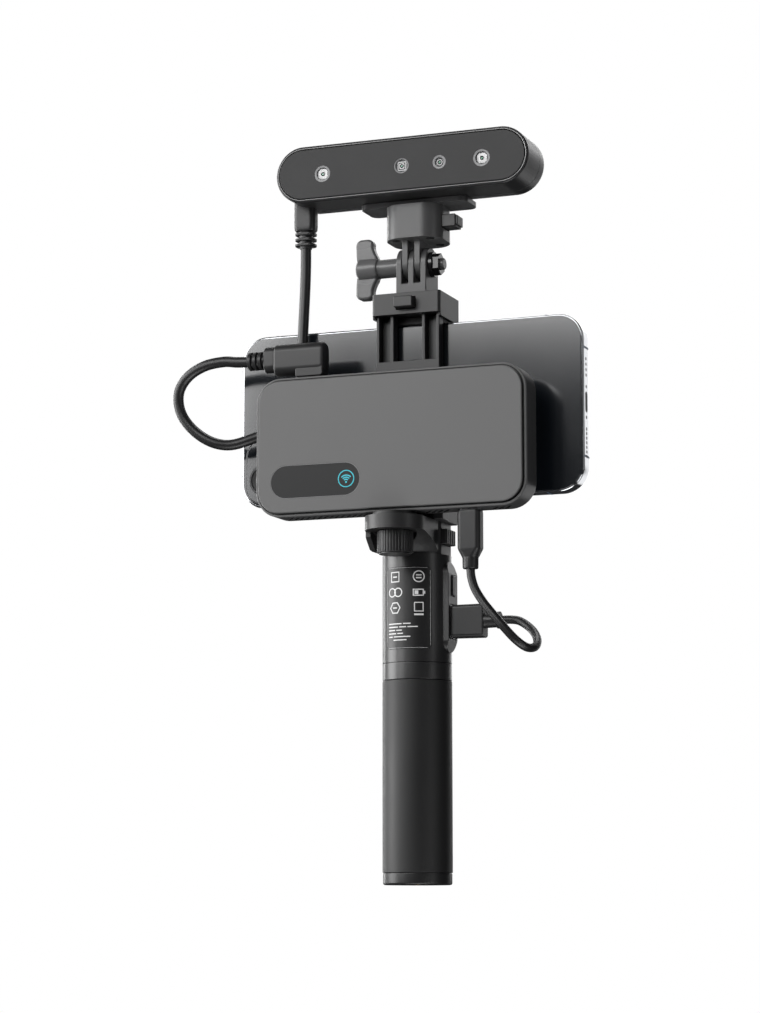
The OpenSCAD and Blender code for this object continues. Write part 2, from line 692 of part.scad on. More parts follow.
module phone_frame() color("silver") difference() {
    along_y([phone_y + 0.5, phone_y + phone_t - 0.5]) phone_outline();
    // pocket for the works, closed by the screen
    along_y([phone_y + 2.2, phone_y + phone_t]) phone_outline(1.8);
    // speaker holes and port on the right-hand end
    for (z = [-22, -19.4, -16.8, -14.2, -11.6, 11.6, 14.2, 16.8, 19.4, 22])
        translate([phone_x, phone_y + phone_t / 2, phone_z + phone_w / 2 + z])
            rotate([0, 90, 0]) rod(0.8, [phone_l / 2 - 1.2, phone_l / 2 + 1]);
    translate([phone_x, phone_y + phone_t / 2, phone_z + phone_w / 2]) rotate([0, 90, 0])
        along_z([phone_l / 2 - 1.2, phone_l / 2 + 1]) rrect(9, 3, 1.49);
}

module phone_back() color("#2a2e33")
    along_y([phone_y, phone_y + 0.5]) phone_outline(0.5);

module phone_screen() color("black")
    along_y([phone_y + phone_t - 0.5, phone_y + phone_t]) phone_outline(0.5);

module phone_camera() color("#1d1f22") translate([phone_x - phone_l / 2 + 17, 0, phone_z + 15]) {
    along_y([phone_y - 1.8, phone_y]) rrect(29, 28, 7.5);
    for (p = [[-5.8, -3.6], [6.2, 4.4]]) translate([p[0], 0, p[1]]) rotate([90, 0, 0])
        rod(6.4, [-phone_y + 1.8, -phone_y + 3.2]);
}

end_cap();
tripod_insert();
grip_sleeve();
grip_core();
battery_cell();
battery_contacts();
power_board();
usb_a_socket();
collar_ring();
upper_housing();
port_panel();
power_button();
label_plate();
bracket_bolt();
bracket();
thumb_button();
thumb_spring();
bracket_pad();
box_knob();
box_rear_shell();
box_front_cover();
box_badge();
badge_icon();
box_board();
box_antennas();
box_sockets();
box_screws();
clamp_body();
lower_pad();
clamp_springs();
jaw_carriage();
jaw_cap();
jaw_pad();
jaw_lug();
finger_hub();
hub_nut();
wing_bolt();
release_block();
block_screws();
release_lever();
mount_plate();
scanner_panel();
scanner_bezel();
scanner_rear_shell();
window_rings();
window_glasses();
camera_modules();
scanner_board();
scanner_socket();
scanner_plug();
data_cord_upper();
data_cord_lower();
angle_plug();
power_cord();
usb_c_plug();
usb_a_plug();
phone_frame();
phone_back();
phone_screen();
phone_camera();
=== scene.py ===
"""Looks of the handheld 3-D scanner rig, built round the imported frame.

Lengths are in millimetres until a mesh is made; places of lights are in metres.
"""

import json
import math

import bmesh
import bpy
from mathutils import Matrix, Vector

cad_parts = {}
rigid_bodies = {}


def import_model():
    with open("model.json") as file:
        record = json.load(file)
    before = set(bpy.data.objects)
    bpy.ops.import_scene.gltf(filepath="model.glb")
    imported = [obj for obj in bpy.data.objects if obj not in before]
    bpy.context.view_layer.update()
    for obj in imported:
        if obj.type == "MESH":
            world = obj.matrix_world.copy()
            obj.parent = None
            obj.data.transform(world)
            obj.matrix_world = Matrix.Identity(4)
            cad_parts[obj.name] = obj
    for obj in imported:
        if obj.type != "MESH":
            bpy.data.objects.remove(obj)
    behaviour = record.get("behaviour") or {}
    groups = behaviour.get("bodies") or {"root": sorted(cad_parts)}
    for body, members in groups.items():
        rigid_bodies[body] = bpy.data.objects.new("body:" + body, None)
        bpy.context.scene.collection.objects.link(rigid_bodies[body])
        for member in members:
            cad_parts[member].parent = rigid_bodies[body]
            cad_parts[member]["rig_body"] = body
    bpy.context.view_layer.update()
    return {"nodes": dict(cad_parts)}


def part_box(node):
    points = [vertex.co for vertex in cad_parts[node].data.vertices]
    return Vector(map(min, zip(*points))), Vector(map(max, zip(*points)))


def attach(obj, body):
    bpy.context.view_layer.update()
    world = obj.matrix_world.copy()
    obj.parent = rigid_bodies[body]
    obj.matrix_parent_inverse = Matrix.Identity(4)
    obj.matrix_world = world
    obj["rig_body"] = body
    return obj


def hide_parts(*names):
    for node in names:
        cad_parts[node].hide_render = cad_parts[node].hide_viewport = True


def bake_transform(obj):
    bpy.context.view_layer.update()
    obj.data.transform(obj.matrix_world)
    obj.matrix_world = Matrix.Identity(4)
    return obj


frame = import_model()

MM = 0.001
NODES = frame["nodes"]


# ---------------------------------------------------------------- frame helpers

def box(node):
    """Lowest and highest corner of a CAD node, in millimetres."""
    lo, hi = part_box(node)
    return lo / MM, hi / MM


def mid(node):
    lo, hi = box(node)
    return (lo + hi) / 2


def body_of(node):
    return NODES[node]["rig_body"]


# ---------------------------------------------------------------- camera and light

AZIMUTH = math.radians(21.3)
PITCH = math.radians(8.293)
CAMERA_PLACE = Vector((398.1, -1062.35, -13.3)) * MM
LENS = 100.57
LIT_SPOT = Vector((0, 0, 0.18))
FLOOR_Z = -0.9


def make_camera():
    data = bpy.data.cameras.new("camera")
    data.lens = LENS
    data.sensor_width = 36
    camera = bpy.data.objects.new("camera", data)
    bpy.context.scene.collection.objects.link(camera)
    camera.location = CAMERA_PLACE
    camera.rotation_euler = (math.pi / 2 + PITCH, 0, AZIMUTH)
    bpy.context.scene.camera = camera


def area_light(name, place, size, power):
    data = bpy.data.lights.new(name, "AREA")
    data.shape = "RECTANGLE"
    data.size, data.size_y = size
    data.energy = power
    light = bpy.data.objects.new(name, data)
    bpy.context.scene.collection.objects.link(light)
    light.location = place
    light.rotation_euler = (LIT_SPOT - Vector(place)).to_track_quat("-Z", "Y").to_euler()


def make_world():
    """White behind the object, and a much dimmer surround for the light that falls on it."""
    world = bpy.data.worlds.new("studio")
    bpy.context.scene.world = world
    world.use_nodes = True
    tree = world.node_tree
    tree.nodes.clear()
    out = tree.nodes.new("ShaderNodeOutputWorld")
    mix = tree.nodes.new("ShaderNodeMixShader")
    path = tree.nodes.new("ShaderNodeLightPath")
    seen = tree.nodes.new("ShaderNodeBackground")
    seen.inputs["Color"].default_value = (1, 1, 1, 1)
    surround = tree.nodes.new("ShaderNodeBackground")
    surround.inputs["Color"].default_value = (0.92, 0.95, 1, 1)
    surround.inputs["Strength"].default_value = 0.03
    tree.links.new(path.outputs["Is Camera Ray"], mix.inputs[0])
    tree.links.new(surround.outputs[0], mix.inputs[1])
    tree.links.new(seen.outputs[0], mix.inputs[2])
    tree.links.new(mix.outputs[0], out.inputs[0])


def make_studio():
    make_world()
    area_light("left", (-1.15, -0.35, 0.4), (0.8, 1.3), 20)
    area_light("front_left", (-0.98, -1.35, 0.6), (0.6, 1.0), 7)
    area_light("front", (-0.35, -1.6, 0.98), (1.0, 0.8), 13)
    area_light("right", (1.15, -0.35, 0.45), (0.25, 0.9), 0.9)
    area_light("right_rim", (0.35, 1.1, 0.3), (0.22, 1.3), 1.1)
    area_light("left_rim", (-0.9, 0.6, 0.4), (0.2, 1.2), 5)
    area_light("top", (0, 0.5, 1.3), (0.9, 0.3), 5)
    area_light("under", (0.15, -0.45, -0.8), (0.7, 0.5), 5)
    area_light("low_right", (0.75, -0.4, -0.35), (0.4, 0.4), 1.6)
    area_light("back", (-0.3, 1.7, 0.6), (1.2, 0.9), 9)
    bpy.ops.mesh.primitive_plane_add(size=14, location=(0, 0, FLOOR_Z))
    floor = bpy.context.object
    floor.name = "floor"
    floor.visible_diffuse = False
    floor.visible_glossy = False
    floor.data.materials.append(floor_paint())
    bpy.context.scene.view_settings.view_transform = "Standard"


# ---------------------------------------------------------------- materials

def new_material(name):
    material = bpy.data.materials.new(name)
    material.use_nodes = True
    tree = material.node_tree
    shader = tree.nodes["Principled BSDF"]
    return material, tree, shader


def object_noise(tree, scale, detail=2.0, stretch=None):
    """Noise in the row frame: scale is in features per millimetre."""
    place = tree.nodes.new("ShaderNodeTexCoord")
    noise = tree.nodes.new("ShaderNodeTexNoise")
    noise.inputs["Scale"].default_value = scale / MM
    noise.inputs["Detail"].default_value = detail
    source = place.outputs["Object"]
    if stretch:
        mapping = tree.nodes.new("ShaderNodeMapping")
        mapping.inputs["Scale"].default_value = stretch
        tree.links.new(source, mapping.inputs[0])
        source = mapping.outputs[0]
    tree.links.new(source, noise.inputs["Vector"])
    return noise.outputs["Fac"]


def mapped(tree, value, low, high):
    """Noise taken to low..high."""
    node = tree.nodes.new("ShaderNodeMapRange")
    node.inputs["From Min"].default_value = 0.2
    node.inputs["From Max"].default_value = 0.8
    node.inputs["To Min"].default_value = low
    node.inputs["To Max"].default_value = high
    tree.links.new(value, node.inputs["Value"])
    return node.outputs[0]


def tinted(tree, shader, value, dark, light):
    ramp = tree.nodes.new("ShaderNodeValToRGB")
    ramp.color_ramp.elements[0].position = 0.15
    ramp.color_ramp.elements[0].color = (*dark, 1)
    ramp.color_ramp.elements[1].position = 0.85
    ramp.color_ramp.elements[1].color = (*light, 1)
    tree.links.new(value, ramp.inputs[0])
    tree.links.new(ramp.outputs[0], shader.inputs["Base Color"])


def bumped(tree, shader, value, strength, distance):
    bump = tree.nodes.new("ShaderNodeBump")
    bump.inputs["Strength"].default_value = strength
    bump.inputs["Distance"].default_value = distance * MM
    tree.links.new(value, bump.inputs["Height"])
    tree.links.new(bump.outputs[0], shader.inputs["Normal"])


BLOTCH = 0.03          # slow blotches per millimetre


def finish_material(name, colour, roughness, grain, spread=0.08, metallic=0.0, coat=0.0, stretch=None,
                    specular=0.5, rough_spread=0.04, alpha=1.0):
    """Moulded or machined surface: fine grain in its bump, slow blotches in its colour and gloss.

    grain is its features per millimetre, the bump's strength and its depth in millimetres.
    """
    material, tree, shader = new_material(name)
    grain_scale, strength, depth = grain
    shader.inputs["Metallic"].default_value = metallic
    shader.inputs["Specular IOR Level"].default_value = specular
    shader.inputs["Coat Weight"].default_value = coat
    shader.inputs["Coat Roughness"].default_value = 0.12
    shader.inputs["Alpha"].default_value = alpha
    slow = object_noise(tree, BLOTCH, 3.0)
    tinted(tree, shader, slow, [c * (1 - spread) for c in colour], [c * (1 + spread) for c in colour])
    tree.links.new(mapped(tree, slow, max(roughness - rough_spread, 0.01), roughness + rough_spread),
                   shader.inputs["Roughness"])
    bumped(tree, shader, object_noise(tree, grain_scale, 3.0, stretch), strength, depth)
    return material


def floor_paint():
    material, tree, shader = new_material("floor_paint")
    tinted(tree, shader, object_noise(tree, 0.002), (0.86, 0.86, 0.86), (0.9, 0.9, 0.9))
    shader.inputs["Roughness"].default_value = 0.9
    shader.inputs["Emission Color"].default_value = (1, 1, 1, 1)
    shader.inputs["Emission Strength"].default_value = 0.8
    return material


def make_materials():
    m = {}
    m["grip"] = finish_material("grip_rubber", (0.007, 0.007, 0.0073), 0.5, (5, 0.3, 0.01))
    m["moulded"] = finish_material("moulded_black", (0.011, 0.011, 0.0115), 0.36, (4, 0.3, 0.015))
    m["housing"] = finish_material("handle_housing", (0.011, 0.011, 0.0115), 0.34, (5, 0.2, 0.01),
                                   specular=0.8)
    m["satin"] = finish_material("satin_grey", (0.02, 0.02, 0.0205), 0.38, (4, 0.2, 0.015))
    m["block"] = finish_material("block_grey", (0.07, 0.07, 0.071), 0.36, (4, 0.2, 0.015))
    m["wing"] = finish_material("wing_moulding", (0.12, 0.12, 0.121), 0.26, (4, 0.15, 0.015))
    m["cover"] = finish_material("cover_lacquer", (0.107, 0.107, 0.107), 0.5, (5, 0.2, 0.01), spread=0.02)
    m["rear_shell"] = finish_material("shell_black", (0.05, 0.05, 0.051), 0.34, (4, 0.25, 0.015))
    m["panel"] = finish_material("scanner_panel", (0.02, 0.02, 0.0205), 0.42, (6, 0.05, 0.005), spread=0.02,
                                 specular=0.25)
    m["anodised"] = finish_material("anodised_grey", (0.03, 0.03, 0.031), 0.32, (7, 0.3, 0.01),
                                    metallic=0.4)
    m["steel"] = finish_material("plain_steel", (0.5, 0.5, 0.51), 0.32, (1.2, 0.3, 0.02), metallic=1.0,
                                 stretch=(1, 1, 12))
    m["polished"] = finish_material("polished_steel", (0.62, 0.63, 0.65), 0.1, (0.3, 0.02, 0.01),
                                    metallic=1.0, rough_spread=0.02)
    m["brass"] = finish_material("brass", (0.6, 0.42, 0.16), 0.3, (1.5, 0.2, 0.02), metallic=1.0)
    m["phone_glass"] = finish_material("phone_glass", (0.006, 0.008, 0.011), 0.12, (0.2, 0.01, 0.01),
                                       coat=0.8, specular=1.0, rough_spread=0.02)
    m["screen_glass"] = finish_material("screen_glass", (0.006, 0.006, 0.008), 0.06, (0.2, 0.01, 0.01),
                                        coat=1.0, rough_spread=0.02)
    m["gloss"] = finish_material("gloss_black", (0.012, 0.012, 0.013), 0.2, (6, 0.08, 0.01), coat=0.4)
    m["badge"] = finish_material("badge_face", (0.022, 0.022, 0.0225), 0.34, (6, 0.1, 0.005), spread=0.02,
                                 specular=0.2)
    m["label"] = finish_material("label_film", (0.012, 0.012, 0.0125), 0.36, (6, 0.15, 0.005))
    m["print"] = finish_material("label_print", (0.7, 0.7, 0.7), 0.5, (6, 0.1, 0.005), spread=0.04)
    m["jacket"] = finish_material("cable_jacket", (0.012, 0.012, 0.0125), 0.38, (3, 0.02, 0.003))
    m["plug"] = finish_material("plug_moulding", (0.014, 0.014, 0.0145), 0.4, (4, 0.2, 0.015))
    m["icon"] = finish_material("icon_cyan", (0.03, 0.5, 0.6), 0.35, (6, 0.1, 0.01), spread=0.05)
    m["board"] = finish_material("solder_mask", (0.01, 0.09, 0.035), 0.35, (1, 0.3, 0.03))
    m["wrap"] = finish_material("cell_wrap", (0.02, 0.22, 0.27), 0.25, (0.4, 0.1, 0.02), coat=0.3)
    m["pale"] = finish_material("module_plate", (0.9, 0.9, 0.9), 0.4, (4, 0.1, 0.01), spread=0.04)
    m["lens"] = finish_material("coated_lens", (0.05, 0.3, 0.16), 0.08, (0.3, 0.02, 0.01), coat=1.0)
    # near-black: painted shade in the groove round the box cover and in the phone's holes; also the wells
    # behind the lenses and the block's screws
    m["black_and_painted_shade"] = finish_material("deep_black_and_painted_shade", (0.004, 0.004, 0.004), 0.5, (4, 0.2, 0.02))
    m["window_ring"] = finish_material("window_ring", (0.17, 0.17, 0.173), 0.4, (6, 0.15, 0.01), metallic=0.3)
    m["window"] = finish_material("window_glass", (0.3, 0.31, 0.32), 0.1, (0.3, 0.02, 0.005), alpha=0.05)
    m["well"] = finish_material("module_well", (0.045, 0.045, 0.046), 0.5, (4, 0.1, 0.01))
    # pale grey for the painted highlight along the scanner bezel's inner edge
    m["edge"] = finish_material("painted_edge_highlight", (0.4, 0.4, 0.4), 0.3, (6, 0.05, 0.005), spread=0.02)
    m["key"] = finish_material("key_steel", (0.5, 0.51, 0.53), 0.22, (2, 0.1, 0.01), metallic=1.0)
    m["key_line"] = finish_material("antenna_line", (0.06, 0.1, 0.17), 0.4, (2, 0.1, 0.01))
    return m


# ---------------------------------------------------------------- mesh helpers


def make_object(name, bm, material, smooth):
    bmesh.ops.recalc_face_normals(bm, faces=bm.faces)
    mesh = bpy.data.meshes.new(name)
    bm.to_mesh(mesh)
    bm.free()
    mesh.transform(Matrix.Scale(MM, 4))
    piece = bpy.data.objects.new(name, mesh)
    bpy.context.scene.collection.objects.link(piece)
    mesh.shade_smooth()
    mesh.set_sharp_from_angle(angle=math.radians(smooth))
    mesh.materials.append(material)
    return piece


def add_piece(name, bm, material, nodes=(), body=None, smooth=35, bevel=0.0, segments=3):
    """Turns a bmesh in millimetres into a piece that rides on a body and stands for its nodes."""
    piece = make_object(name, bm, material, smooth)
    if bevel:
        modifier = piece.modifiers.new("edges", "BEVEL")
        modifier.width = bevel * MM
        modifier.segments = segments
        modifier.limit_method = "ANGLE"
        modifier.angle_limit = math.radians(30)
    weighted = piece.modifiers.new("normals", "WEIGHTED_NORMAL")
    weighted.keep_sharp = True
    if nodes or body:
        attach(piece, body or body_of(nodes[0]))
    if nodes:
        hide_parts(*nodes)
    return piece


def loft(bm, rings, cap_first=True, cap_last=True):
    """Skins rings of equal length, in order."""
    made = [[bm.verts.new(p) for p in ring] for ring in rings]
    for a, b in zip(made, made[1:]):
        count = len(a)
        for i in range(count):
            bm.faces.new((a[i], a[(i + 1) % count], b[(i + 1) % count], b[i]))
    if cap_first:
        bm.faces.new(list(reversed(made[0])))
    if cap_last:
        bm.faces.new(made[-1])
    return made


def rounded_outline(width, height, radius, steps=10):
    """Points of a centred rounded rectangle, counter-clockwise."""
    points = []
    radius = min(radius, width / 2 - 1e-4, height / 2 - 1e-4)
    for sx, sy, start in ((1, 1, 0), (-1, 1, 90), (-1, -1, 180), (1, -1, 270)):
        for k in range(steps + 1):
            angle = math.radians(start + 90 * k / steps)
            points.append((sx * (width / 2 - radius) + radius * math.cos(angle),
                           sy * (height / 2 - radius) + radius * math.sin(angle)))
    return points


def place_ring(points, plane, centre, level):
    """Outline points on a plane across X, Y or Z at that level."""
    cx, cy, cz = centre
    if plane == "Y":
        return [(cx + u, level, cz + v) for u, v in points]
    if plane == "X":
        return [(level, cy + u, cz + v) for u, v in points]
    return [(cx + u, cy + v, level) for u, v in points]


def slab_rings(size, radius, plane, centre, levels, steps=10):
    """Rings of rounded rectangles. levels is a list of (level, inset)."""
    rings = []
    for level, inset in levels:
        outline = rounded_outline(size[0] - 2 * inset, size[1] - 2 * inset,
                                  max(radius - inset, 0.05), steps)
        rings.append(place_ring(outline, plane, centre, level))
    return rings


def edge_levels(start, end, edge_start, edge_end, steps=5):
    """(level, inset) pairs that round both edges of a slab from start to end."""
    way = 1 if end > start else -1
    levels = []
    for k in range(steps + 1):
        angle = math.pi / 2 * k / steps
        levels.append((start + way * edge_start * (1 - math.sin(angle)),
                       edge_start * (1 - math.cos(angle))))
    levels = levels[::-1] if edge_start else [(start, 0)]
    if not edge_end:
        return levels + [(end, 0)]
    for k in range(steps + 1):
        angle = math.pi / 2 * k / steps
        levels.append((end - way * edge_end * (1 - math.sin(angle)), edge_end * (1 - math.cos(angle))))
    return levels


def slab(size, radius, plane, centre, start, end, edge_start=0.4, edge_end=0.4, steps=10):
    bm = bmesh.new()
    levels = edge_levels(start, end, edge_start, edge_end)
    loft(bm, slab_rings(size, radius, plane, centre, levels, steps))
    return bm


def layered(size, radius, plane, centre, levels, steps=10):
    """Loft through (level, inset) pairs, closed at both ends."""
    bm = bmesh.new()
    loft(bm, slab_rings(size, radius, plane, centre, levels, steps))
    return bm


def frame_ring(size, radius, plane, centre, levels, steps=14):
    """A closed profile of (level, inset) pairs taken round a rounded rectangle."""
    bm = bmesh.new()
    loft(bm, slab_rings(size, radius, plane, centre, levels + levels[:1], steps),
         cap_first=False, cap_last=False)
    bmesh.ops.remove_doubles(bm, verts=bm.verts, dist=1e-5)
    return bm


def stacked(plane, centre, sections):
    """Loft through (level, width, height, radius) sections, closed at both ends."""
    bm = bmesh.new()
    loft(bm, [place_ring(rounded_outline(w, h, r, 8), plane, centre, level)
              for level, w, h, r in sections])
    return bm


def round_sections(levels):
    return [(level, 2 * r, 2 * r, r) for level, r in levels]


def turned_rings(profile, axis, centre, segments):
    """Circles for a profile of (radius, level) points about an axis through centre."""
    circle = [(math.cos(2 * math.pi * k / segments), math.sin(2 * math.pi * k / segments))
              for k in range(segments)]
    return [place_ring([(r * u, r * v) for u, v in circle], axis, centre, level) for r, level in profile]


def lathe(profile, axis, centre, segments):
    """A solid turned from an open profile."""
    bm = bmesh.new()
    loft(bm, turned_rings(profile, axis, centre, segments))
    return bm


def tube_profile(inner, outer, start, end, edge):
    """Closed profile of a tube with rounded outer edges, as (radius, level) points."""
    half = edge * 0.3
    return [(inner, start), (outer - edge, start), (outer - half, start + half), (outer, start + edge),
            (outer, end - edge), (outer - half, end - half), (outer - edge, end), (inner, end)]


def ring_lathe(profile, axis, centre, segments):
    """A closed profile turned into a ring."""
    bm = bmesh.new()
    loft(bm, turned_rings(profile + profile[:1], axis, centre, segments), cap_first=False, cap_last=False)
    bmesh.ops.remove_doubles(bm, verts=bm.verts, dist=1e-5)
    return bm


def prism(outline, plane, centre, start, end):
    bm = bmesh.new()
    loft(bm, [place_ring(outline, plane, centre, level) for level in (start, end)])
    return bm


def rounded_corners(points, radius, steps=5):
    """A closed polygon with its corners rounded off."""
    out = []
    count = len(points)
    for i, p in enumerate(points):
        p = Vector(p)
        a, b = Vector(points[i - 1]) - p, Vector(points[(i + 1) % count]) - p
        cut = min(radius, a.length * 0.45, b.length * 0.45)
        first, last = p + a.normalized() * cut, p + b.normalized() * cut
        for k in range(steps + 1):
            t = k / steps
            out.append(tuple((1 - t) ** 2 * first + 2 * t * (1 - t) * p + t * t * last))
    return out


def joined(*parts):
    """One bmesh that holds several."""
    bm = parts[0]
    for part in parts[1:]:
        mesh = bpy.data.meshes.new("part")
        part.to_mesh(mesh)
        part.free()
        bm.from_mesh(mesh)
        bpy.data.meshes.remove(mesh)
    return bm


def carved(bm, cutter):
    """bm with cutter taken away."""
    objects = []
    for name, part in (("body", bm), ("cutter", cutter)):
        bmesh.ops.recalc_face_normals(part, faces=part.faces)
        mesh = bpy.data.meshes.new(name)
        part.to_mesh(mesh)
        part.free()
        made = bpy.data.objects.new(name, mesh)
        bpy.context.scene.collection.objects.link(made)
        objects.append(made)
    modifier = objects[0].modifiers.new("cut", "BOOLEAN")
    modifier.operation = "DIFFERENCE"
    modifier.solver = "EXACT"
    modifier.object = objects[1]
    evaluated = objects[0].evaluated_get(bpy.context.evaluated_depsgraph_get())
    result = bmesh.new()
    result.from_mesh(evaluated.to_mesh())
    evaluated.to_mesh_clear()
    for made in objects:
        bpy.data.objects.remove(made)
    return result


def refined(node, material, bevel, segments=3):
    """The CAD node's own shape with clean faces and softened edges."""
    bm = bmesh.new()
    bm.from_mesh(NODES[node].data)
    bmesh.ops.scale(bm, vec=(1 / MM,) * 3, verts=bm.verts)
    bmesh.ops.remove_doubles(bm, verts=bm.verts, dist=0.002)
    bmesh.ops.dissolve_limit(bm, angle_limit=math.radians(1.5), verts=bm.verts, edges=bm.edges)
    add_piece(f"{node}_look", bm, material, [node], bevel=bevel, segments=segments)


# ---------------------------------------------------------------- cables

DATA_D = 4.4
POWER_D = 3.4
PLUG_X, PLUG_Y = -46.2, -7.1         # data plug under the scanner
SPLIT_Z = 214                        # where the data cable's two stretches meet
ANGLE_Y, ANGLE_Z = -24.3, 211.7      # axis of the angled plug
PORT_X = -36.2                       # leg of the angled plug
INLET_X, INLET_Y = 31.3, -23.8       # power plug under the box
USB_A_Z = 104.5                      # axis of the plug in the handle

UPPER_ROUTE = [
    (PLUG_X, PLUG_Y, 261), (PLUG_X, PLUG_Y, 254), (PLUG_X, -7.6, 246), (PLUG_X, -8.4, 238),
    (PLUG_X, -9.3, 230), (PLUG_X, -10.2, 222), (PLUG_X, -11, SPLIT_Z),
]
LOWER_ROUTE = [
    (PLUG_X, -11, SPLIT_Z), (-46.2, -11.5, 208), (-46.5, -11.8, 202), (-48, -12, 196.2),
    (-51.4, -12.4, 190), (-57.2, -13.3, 185), (-66, -15.2, 181.6), (-75, -17.1, 179.2),
    (-82.4, -19, 180.4), (-89.5, -20.2, 184.8), (-94.6, -21.2, 190.8), (-96.6, -22, 197),
    (-95.6, -22.8, 203), (-91, -23.6, 208.2), (-83.6, -24.1, 211.6), (-75.2, -24.3, 212.6),
    (-69.4, ANGLE_Y, 212), (-63.9, ANGLE_Y, ANGLE_Z),
]
POWER_ROUTE = [
    (INLET_X, INLET_Y, 122.4), (31.7, -23.9, 119), (33.2, -24, 114.5), (36.5, -24.2, 109.3),
    (40.8, -24.5, 104.1), (45.1, -24.3, 99), (49.2, -22.9, 94.3), (52.5, -19.3, 91.4),
    (54.2, -14.1, 91.8), (53.6, -8.6, 94.9), (50.8, -4.3, 98.7), (47, -1.6, 101.8),
    (43.2, -0.3, 103.9), (39.5, 0, USB_A_Z), (35.6, 0, USB_A_Z),
]


def smooth_path(route, steps=6):
    """Catmull-Rom curve through the route's points."""
    points = [Vector(p) for p in route]
    ends = [2 * points[0] - points[1], *points, 2 * points[-1] - points[-2]]
    path = []
    for a, b, c, d in zip(ends, ends[1:], ends[2:], ends[3:]):
        for k in range(steps):
            t = k / steps
            path.append(0.5 * (2 * b + (c - a) * t + (2 * a - 5 * b + 4 * c - d) * t * t
                               + (3 * b - a - 3 * c + d) * t ** 3))
    return path + [points[-1]]


def cable_mesh(path, diameter, sides=32):
    bm = bmesh.new()
    rings = []
    side = Vector((0, 1, 0))
    for i, p in enumerate(path):
        way = (path[min(i + 1, len(path) - 1)] - path[max(i - 1, 0)]).normalized()
        side = (side - side.dot(way) * way).normalized()
        up = way.cross(side)
        ring = []
        for k in range(sides):
            a = 2 * math.pi * k / sides
            ring.append(p + diameter / 2 * (math.cos(a) * side + math.sin(a) * up))
        rings.append(ring)
    loft(bm, rings)
    return bm


def make_cords(m):
    paths = {"upper": smooth_path(UPPER_ROUTE), "lower": smooth_path(LOWER_ROUTE),
             "power": smooth_path(POWER_ROUTE)}

    upper = add_piece("data_cord_top", cable_mesh(paths["upper"], DATA_D), m["jacket"])
    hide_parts("data_cord_upper")
    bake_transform(upper)

    lower = add_piece("data_cord_loop", cable_mesh(paths["lower"], DATA_D), m["jacket"])
    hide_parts("data_cord_lower")
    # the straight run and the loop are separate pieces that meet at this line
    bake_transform(lower)

    power = add_piece("power_lead", cable_mesh(paths["power"], POWER_D), m["jacket"], ["power_cord"])


# ---------------------------------------------------------------- plugs

def make_plugs(m):
    ridges = []
    for z in (261.1, 263.4, 265.7):
        ridges += [(z, 4.9, 4.9, 2.4), (z + 0.9, 5.4, 5.0, 2.4), (z + 1.0, 8.3, 6.2, 2.2),
                   (z + 1.15, 8.6, 6.4, 2.3), (z + 1.95, 8.6, 6.4, 2.3), (z + 2.1, 5.6, 5.2, 2.4)]
    body = [(268.2, 5.8, 5.4, 2.4), (268.5, 8.4, 6.2, 2.2), (269.1, 9.0, 6.6, 2.2), (270.4, 9.2, 6.8, 2.2),
            (281.3, 9.2, 6.8, 2.2)]
    add_piece("scanner_plug_look", stacked("Z", (PLUG_X, PLUG_Y, 0), ridges + body), m["plug"],
              ["scanner_plug"])

    # angled plug: relief, collar, barrel along X, and a leg down to the port
    reach = []
    for x in (-63.8, -61.5, -59.2):
        reach += round_sections([(x, 2.5), (x + 0.2, 3.5), (x + 0.4, 3.7), (x + 1.6, 3.75), (x + 1.8, 2.7)])
    collar = [(-56.6, 5.4, 5.4, 2.7), (-56.4, 5.9, 9.8, 2.7), (-56, 6.3, 10.6, 2.9),
              (-52, 6.3, 10.6, 2.9), (-51.8, 6.0, 10.2, 2.8)]
    barrel = [(-51.8, 6.4, 11.6, 3), (-51.4, 7.1, 12.8, 3.4), (-50.7, 7.4, 13.1, 3.6),
              (-31.6, 7.4, 13.1, 3.6), (-30.6, 7.1, 12.7, 3.4), (-30.05, 6.2, 11.6, 3)]
    relief = stacked("X", (0, ANGLE_Y, ANGLE_Z), reach + collar)
    block = stacked("X", (0, ANGLE_Y, 211.15), barrel)
    leg = slab((12, 8.2), 1.2, "Y", (PORT_X, 0, 207.5), -27.75, -20.9, 0.5, 0.5)
    foot = slab((10.6, 6.6), 1.6, "Z", (PORT_X, ANGLE_Y, 0), 203.4, 206, 0.3, 0.2)
    add_piece("angle_plug_look", joined(relief, block, leg, foot), m["plug"], ["angle_plug"])

    lead = round_sections([(122.5, 2.9), (123, 3.15), (126.4, 3.2), (126.7, 3.2)])
    lower = [(127.2, 6.8, 6.2, 2.9), (129.8, 9.0, 6.9, 2.2), (130.6, 9.4, 7.0, 1.9),
             (144.6, 9.4, 7.0, 1.9), (145.6, 9.0, 6.6, 1.8)]
    add_piece("usb_c_plug_look", stacked("Z", (INLET_X, INLET_Y, 0), lead + lower), m["plug"],
              ["usb_c_plug"])
    shield = slab((8.6, 2.8), 1.35, "Z", (INLET_X, INLET_Y, 0), 145, 147.6, 0.05, 0.1)
    add_piece("usb_c_shield", shield, m["steel"], body="handle")

    boot = [(15.6, 5.8, 12.6, 1.2), (15.9, 6.6, 13.2, 1.4), (28.4, 6.8, 13.4, 1.4), (29, 6.4, 13, 1.3),
            (29.15, 6.0, 6.2, 2.9)]
    tail = round_sections([(30, 3.0), (34.2, 2.9), (34.3, 3.4), (35.4, 3.45), (35.5, 3.2)])
    add_piece("usb_a_plug_look", stacked("X", (0, 0, USB_A_Z), boot + tail), m["plug"], ["usb_a_plug"])
    inside = slab((4.4, 11.8), 0.3, "X", (0, 0, USB_A_Z), 6, 15.8, 0.05, 0.05)
    add_piece("usb_a_shield", inside, m["steel"], body="handle")


# ---------------------------------------------------------------- handle

